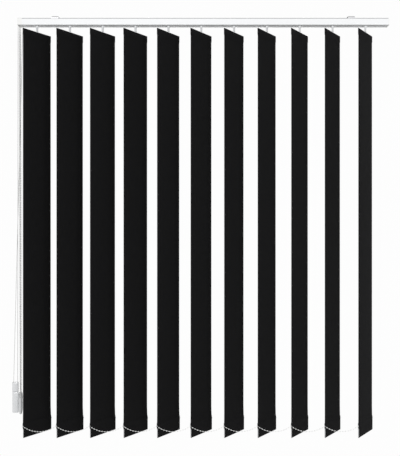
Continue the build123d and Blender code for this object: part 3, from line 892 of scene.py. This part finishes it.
# %% Slit, cupping and flare
CUPPING = 0.9
NEAR_FLARE = 0.8
FAR_FLARE = 2.1
CORNER_TUCK = 2.4
FLARE_START, FLARE_FULL = SLAT_BOTTOM + 78, SLAT_BOTTOM + 38
TUCK_START, TUCK_FULL = SLAT_BOTTOM + 39, SLAT_BOTTOM + 28


def eased(height, start, end):
    """A share that grows softly from 0 at the start height to 1 at the end height."""
    share = min(max((height - start) / (end - start), 0.0), 1.0)
    return share**2 * (3 - 2 * share)


slit_from = high_fold + 0.1
slit = [
    face
    for face in strip.faces
    if abs(face.calc_center_median().x) < TONGUE_SLOT * MM
    and face.calc_center_median().z > slit_from * MM
]
bmesh.ops.delete(strip, geom=slit, context="FACES")
free_height = top_seam - bottom_seam
for vert in strip.verts:
    height = vert.co.z / MM
    share = min(max((height - bottom_seam) / free_height, 0.0), 1.0)
    across = vert.co.x / MM / (SLAT_WIDTH / 2)
    vert.co.y -= CUPPING * MM * sin(pi * share) ** 0.5 * (1 - across**2)
    spread = (FAR_FLARE if across > 0 else NEAR_FLARE) * eased(height, FLARE_START, FLARE_FULL)
    if across < 0:
        spread -= CORNER_TUCK * eased(height, TUCK_START, TUCK_FULL)
    vert.co.x += across * spread * MM
flat_map = strip.loops.layers.uv.new("flat")
for face in strip.faces:
    for loop in face.loops:
        loop[flat_map].uv = (loop.vert.co.x, loop.vert[used])
bmesh.ops.recalc_face_normals(strip, faces=strip.faces)
print("cloth strip:", len(strip.faces), "faces before it gets its thickness")

# %% [markdown]
# ## What carries a slat
# In the rail each carrier holds a hook, whose two jaws clip onto the tongue of a flat hanger in
# the top pocket. The lower pocket holds a plate weight with an eye at both ends. All three are
# thin injection mouldings, so they are blocks with small rounded edges.
#
# The hook's stem is round and turns with the slat, so it is spun. Below its collar it goes over
# into a flat shoulder with a long jaw and a short one, each with a thicker lip that the tongue is
# pushed past. A small nib between the jaws catches the tongue.

# %% Hook
HOOK_TOP = -23.5
STEM_BOTTOM = -34.0
HOOK_SHOULDER = -39.0
JAW_GAP = 0.75
HOOK_HALF_THICK = 2.2
HOOK_HALF_WIDTH = 4.25
JAW_HALF_WIDTH = HOOK_HALF_WIDTH - 0.6
LONG_JAW = 13.0
SHORT_JAW = 9.5
JAW_IN_SHOULDER = 1.0
LIP_HEIGHT = 1.6
LIP_OPENING = 0.5
LIP_PROUD = 0.35
NIB_HALF_WIDTH = 1.2
NIB_LOW, NIB_HIGH = -48.0, -46.0
SHOULDER_EDGE, JAW_EDGE, LIP_EDGE, NIB_EDGE = 0.7, 0.45, 0.4, 0.3


def add_across(bm, half_width, low, high, bottom, top, edge):
    """A rounded block, centred across the slat, between two places through it and two heights."""
    thin, thick = sorted((low, high))
    add_block(bm, (-half_width, thin, bottom), (half_width, thick, top), edge)


hook = bmesh.new()
stem = [(0, HOOK_TOP), (2.6, HOOK_TOP), (3.3, HOOK_TOP - 0.8), (3.3, -31.8), (5.3, -32.0)]
stem += [(5.6, -32.4), (5.5, -33.1), (4.0, -36.4), (3.5, -36.9), (0, -36.9)]
add_turned(hook, stem, (0, 0, 0), steps=20)
add_block(
    hook,
    (-HOOK_HALF_WIDTH, -HOOK_HALF_THICK, HOOK_SHOULDER),
    (HOOK_HALF_WIDTH, HOOK_HALF_THICK, STEM_BOTTOM),
    SHOULDER_EDGE,
    segments=3,
)
for side, jaw in ((-1, LONG_JAW), (1, SHORT_JAW)):
    jaw_low, jaw_top = HOOK_SHOULDER - jaw, HOOK_SHOULDER + JAW_IN_SHOULDER
    inner, outer = side * JAW_GAP, side * HOOK_HALF_THICK
    add_across(hook, JAW_HALF_WIDTH, inner, outer, jaw_low, jaw_top, JAW_EDGE)
    inner, outer = side * (JAW_GAP + LIP_OPENING), side * (HOOK_HALF_THICK + LIP_PROUD)
    lip_top = jaw_low + LIP_HEIGHT
    add_across(hook, JAW_HALF_WIDTH, inner, outer, jaw_low, lip_top, LIP_EDGE)
add_across(hook, NIB_HALF_WIDTH, -JAW_GAP, JAW_GAP, NIB_LOW, NIB_HIGH, NIB_EDGE)
print("hook:", round(HOOK_TOP - HOOK_SHOULDER + LONG_JAW, 1), "mm tall,", len(hook.faces), "faces")

# %% [markdown]
# The hanger is a thin plate that keeps the top of the slat straight. Its tongue comes out through
# the slit in the fold and reaches up between the hook's jaws.

# %% Hanger
HANGER_HALF_THICK = 0.6
HANGER_HALF_WIDTH = 59.0
HANGER_HEIGHT = 16.9
HANGER_TOP = SLAT_TOP - 1.2
TONGUE_HALF_WIDTH = 4.0
TONGUE_TOP = HOOK_SHOULDER - 0.1
TONGUE_ROOT = SLAT_TOP - 4.0
PLATE_EDGE = 0.35

hanger = bmesh.new()
for half_width, bottom, top in (
    (HANGER_HALF_WIDTH, HANGER_TOP - HANGER_HEIGHT, HANGER_TOP),
    (TONGUE_HALF_WIDTH, TONGUE_ROOT, TONGUE_TOP),
):
    front, back = -HANGER_HALF_THICK, HANGER_HALF_THICK
    add_across(hanger, half_width, front, back, bottom, top, PLATE_EDGE)
print("hanger:", 2 * HANGER_HALF_WIDTH, "mm wide")

# %% [markdown]
# The bottom weight is a heavier plate. At each end a short lug comes out of the pocket and ends in
# an eye, which the bottom chain clips into. The eye is a ring: its closed profile is spun about
# the eye's axis, so the hole is there without a boolean.

# %% Bottom weight
WEIGHT_HALF_THICK = 0.85
WEIGHT_HALF_WIDTH = 61.5
WEIGHT_LOW, WEIGHT_HIGH = SLAT_BOTTOM + 1.3, SLAT_BOTTOM + 47.0
LUG_REACH = 66.0
LUG_ROOT = 60.0
LUG_HALF_HEIGHT = 2.4
LUG_Z = SLAT_BOTTOM + 41.5
EYE_WALL_MIDDLE = 1.95
WEIGHT_EDGE, LUG_EDGE = 0.4, 0.3
EYE_RING = [(1.9, -0.85), (2.3, -0.85), (2.5, -0.6), (2.5, 0.6), (2.3, 0.85), (1.9, 0.85)]

bottom_weight = bmesh.new()
front, back = -WEIGHT_HALF_THICK, WEIGHT_HALF_THICK
add_across(
    bottom_weight, WEIGHT_HALF_WIDTH, front, back, WEIGHT_LOW, WEIGHT_HIGH, WEIGHT_EDGE
)
for side in (-1, 1):
    left, right = sorted((side * LUG_ROOT, side * (LUG_REACH - EYE_WALL_MIDDLE)))
    low = (left, front, LUG_Z - LUG_HALF_HEIGHT)
    add_block(bottom_weight, low, (right, back, LUG_Z + LUG_HALF_HEIGHT), LUG_EDGE)
    eye = (side * LUG_REACH, 0, LUG_Z)
    add_turned(bottom_weight, EYE_RING, eye, axis="Y", steps=20, ring=True)
print("bottom weight:", 2 * LUG_REACH, "mm from eye to eye")

# %% [markdown]
# The four patterns are now copied to each slat's place and turned there. The copies get their
# place in their mesh, not as an object's transform, so that a joint can move them and a pattern
# on object coordinates stays put. The cloth gets its thickness last, from a modifier that grows
# both ways from the strip.

# %% Hang the slats
cloth = slat_cloth([low_weld, high_weld])
for body in slat_bodies:
    place = on_slat(body)
    for kind, template in (("hook", hook), ("hanger", hanger), ("weight", bottom_weight)):
        bm = copied(template, place)
        stands_for = [body.replace("slat_", "slat_fittings_")] if kind == "hook" else ()
        piece(
            bm, f"{body}_{kind}", body, fitting_plastic, stands_for
        )
    sheet = piece(copied(strip, place), f"{body}_cloth", body, cloth, [body])
    thickness = sheet.modifiers.new("cloth_thickness", "SOLIDIFY")
    thickness.thickness = CLOTH * MM
    thickness.offset = 0
for template in (strip, hook, hanger, bottom_weight):
    template.free()
print("slats hung:", len(slat_bodies))

# %% [markdown]
# ## Bottom chain
# A light bead chain joins the slats' near lower corners. A chain that hangs freely between two
# points at one height is very close to a parabola, and five control points of an order-three NURBS
# give that curve. Its middle stands a little in front of the eyes, so that the beads clear the
# cloth when the slats are turned flat. When the slats are drawn together the chain has to close
# up, so each bay rides on a body of its own and keeps a mesh of its own.

# %% Bottom chain
BOTTOM_BEAD = 3.4
BOTTOM_CORE = 0.8
BOTTOM_SAG = 18.0
BEADS_PER_BAY = 13
STAND_OFF = 3.6
HANGING_CURVE = [(0, 0, 0), (1 / 6, 1, 2 / 3), (1 / 2, 1, 10 / 9), (5 / 6, 1, 2 / 3), (1, 0, 0)]
eye_x = -LUG_REACH * cos(radians(SLAT_ANGLE))
eye_y = -LUG_REACH * sin(radians(SLAT_ANGLE))

for body in slat_bodies[:-1]:
    bay = body.replace("slat_", "bottom_chain_")
    x = slat_place[body] / MM + eye_x
    bay_route = [
        (x + slat_pitch * along, eye_y - STAND_OFF * out, LUG_Z - BOTTOM_SAG * down)
        for along, out, down in HANGING_CURVE
    ]
    pitch = length_of(line_points(bay_route)) / MM / BEADS_PER_BAY
    bm, _ = beaded(bay_route, BOTTOM_BEAD, pitch, BOTTOM_CORE)
    beads = piece(bm, f"{bay}_beads", bay, white_plastic, [bay])
    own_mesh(beads)
print("bottom chain bays:", len(slat_bodies) - 1, "with a bead every", round(pitch, 2), "mm")

# %% [markdown]
# ## Cord inside the rail
# The same cord goes on inside the rail: over a pulley in the left cap, along the back of the rail,
# round the pulley at the far end and back along the front. It is one more smooth line. Each long
# run has a point near its pulleys, so that the line stays straight between them.

# %% Cord inside the rail
inside_route = [
    (-636.0, 4.5, -33.0),
    (-636.0, 4.5, -27.0),
    (-636.0, 12.0, -23.0),
    (-636.0, 12.0, -12.0),
    (-625.0, 12.0, -12.0),
    (619.5, 12.0, -12.0),
    (643.5, 12.0, -12.0),
    (643.5, -12.0, -12.0),
    (619.5, -12.0, -12.0),
    (-637.7, -12.0, -12.0),
    (-648.5, -12.0, -12.0),
    (-648.5, -12.0, -22.8),
    (-648.5, -12.0, -33.0),
]
inside_cord = line_object("draw_cord_in_rail", inside_route, CORD_DIAMETER)
inside_cord.data.materials.append(cord_finish)
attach(inside_cord, "rail")
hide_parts("draw_cord_inside")
print("draw cord inside the rail:", round(length_of(line_points(inside_route)), 3), "m")

# %% [markdown]
# ## The frame's own pieces
# The rail, the caps, the brackets and the gear inside have their right shapes already. They only
# need their finish.

# %% Finishes for the frame's pieces
finishes = {
    "headrail": rail_paint,
    "control_end_cap": white_plastic,
    "return_end_cap": white_plastic,
    "carrier_stop": white_plastic,
    "bracket_left": zinc,
    "bracket_right": zinc,
    "tilt_rod": drawn_aluminium,
    "chain_wheel": white_plastic,
    "front_guide_pulley": pulley_plastic,
    "rear_guide_pulley": pulley_plastic,
    "return_pulley": pulley_plastic,
}
for body in slat_bodies:
    finishes[body.replace("slat_", "carrier_")] = carrier_plastic
for name, material in finishes.items():
    node = frame["nodes"][name]
    for slot in node.material_slots:
        slot.material = material
print("frame pieces with a finish:", len(finishes))

# %% [markdown]
# ## Room
# The blind hangs in front of nothing but white. The floor far below it is pale and keeps its soft
# shadow. It fades out before the camera sees its edge, because a horizon line would cross the
# picture, and it is see-through from underneath, for views from below.

# %% Floor
FLOOR_DROP = 0.6
FLOOR_SIZE = 12.0
FADE_START, FADE_END = 0.6, 1.4
floor_bm = bmesh.new()
bmesh.ops.create_grid(floor_bm, x_segments=1, y_segments=1, size=FLOOR_SIZE / 2)
floor_mesh = bpy.data.meshes.new("floor")
floor_bm.to_mesh(floor_mesh)
floor_bm.free()
floor = bpy.data.objects.new("floor", floor_mesh)
floor.location = (0, 0, cad_box[0][2] - FLOOR_DROP)
bpy.context.scene.collection.objects.link(floor)

floor_material, floor_tree, floor_shader = finish("floor", (0.9, 0.9, 0.9), 0.8)
floor_place = floor_tree.nodes.new("ShaderNodeTexCoord")
floor_radius = floor_tree.nodes.new("ShaderNodeVectorMath")
floor_radius.operation = "LENGTH"
floor_tree.links.new(floor_place.outputs["Object"], floor_radius.inputs[0])
fade = floor_tree.nodes.new("ShaderNodeMapRange")
fade.inputs["From Min"].default_value = FADE_START
fade.inputs["From Max"].default_value = FADE_END
fade.interpolation_type = "SMOOTHSTEP"
floor_tree.links.new(floor_radius.outputs["Value"], fade.inputs["Value"])
facing = floor_tree.nodes.new("ShaderNodeNewGeometry")
hidden = maths(floor_tree, "MAXIMUM", fade.outputs["Result"], facing.outputs["Backfacing"])
clear = floor_tree.nodes.new("ShaderNodeBsdfTransparent")
floor_mix = floor_tree.nodes.new("ShaderNodeMixShader")
floor_tree.links.new(hidden, floor_mix.inputs["Fac"])
floor_tree.links.new(floor_shader.outputs["BSDF"], floor_mix.inputs[1])
floor_tree.links.new(clear.outputs["BSDF"], floor_mix.inputs[2])
floor_tree.links.new(
    floor_mix.outputs["Shader"], floor_tree.nodes["Material Output"].inputs["Surface"]
)
floor.data.materials.append(floor_material)
print("floor:", FLOOR_DROP, "m under the slats")

# %% [markdown]
# The background is white to the camera, and to glossy and clear surfaces, but lights the blind
# only softly. Light Path tells these apart. A background that was simply brighter would wash the
# white rail out.

# %% World
WORLD_SEEN = 0.985
WORLD_LIGHT = 0.36
world = bpy.data.worlds.new("room")
bpy.context.scene.world = world
world.use_nodes = True
sky = world.node_tree.nodes["Background"]
sky.inputs["Color"].default_value = (1, 1, 1, 1)
path = world.node_tree.nodes.new("ShaderNodeLightPath")
seen = maths(
    world.node_tree, "MAXIMUM", path.outputs["Is Camera Ray"], path.outputs["Is Transmission Ray"]
)
seen = maths(world.node_tree, "MAXIMUM", seen, path.outputs["Is Glossy Ray"])
strength = maths(world.node_tree, "MULTIPLY", seen, WORLD_SEEN - WORLD_LIGHT)
strength = maths(world.node_tree, "ADD", strength, WORLD_LIGHT)
world.node_tree.links.new(strength, sky.inputs["Strength"])
print("world:", WORLD_SEEN, "as seen and", WORLD_LIGHT, "as light")

# %% [markdown]
# Three large soft lamps light it as a bright room does. A key stands in front on the left, and a
# weaker fill in front on the right. A third stands behind and high, so that the backs of the slats
# aren't lost in black. All face the middle of the blind.

# %% Lamps
LAMPS_FACE = (0, 0, -0.75)


def lamp(name, place, size, power):
    """A square area lamp that faces the blind's middle."""
    light = bpy.data.lights.new(name, "AREA")
    light.size = size
    light.energy = power
    made = bpy.data.objects.new(name, light)
    made.location = place
    aim = Vector(LAMPS_FACE) - Vector(place)
    made.rotation_euler = aim.to_track_quat("-Z", "Y").to_euler()
    bpy.context.scene.collection.objects.link(made)


lamp("key", (-1.1, -4.7, -0.1), 2.2, 108)
lamp("fill", (2.2, -4.2, -0.6), 2.2, 80)
lamp("back", (0.5, 4.0, 0.9), 2.0, 60)
bpy.context.scene.view_settings.view_transform = "Standard"
print("lamps:", len(bpy.data.lights))
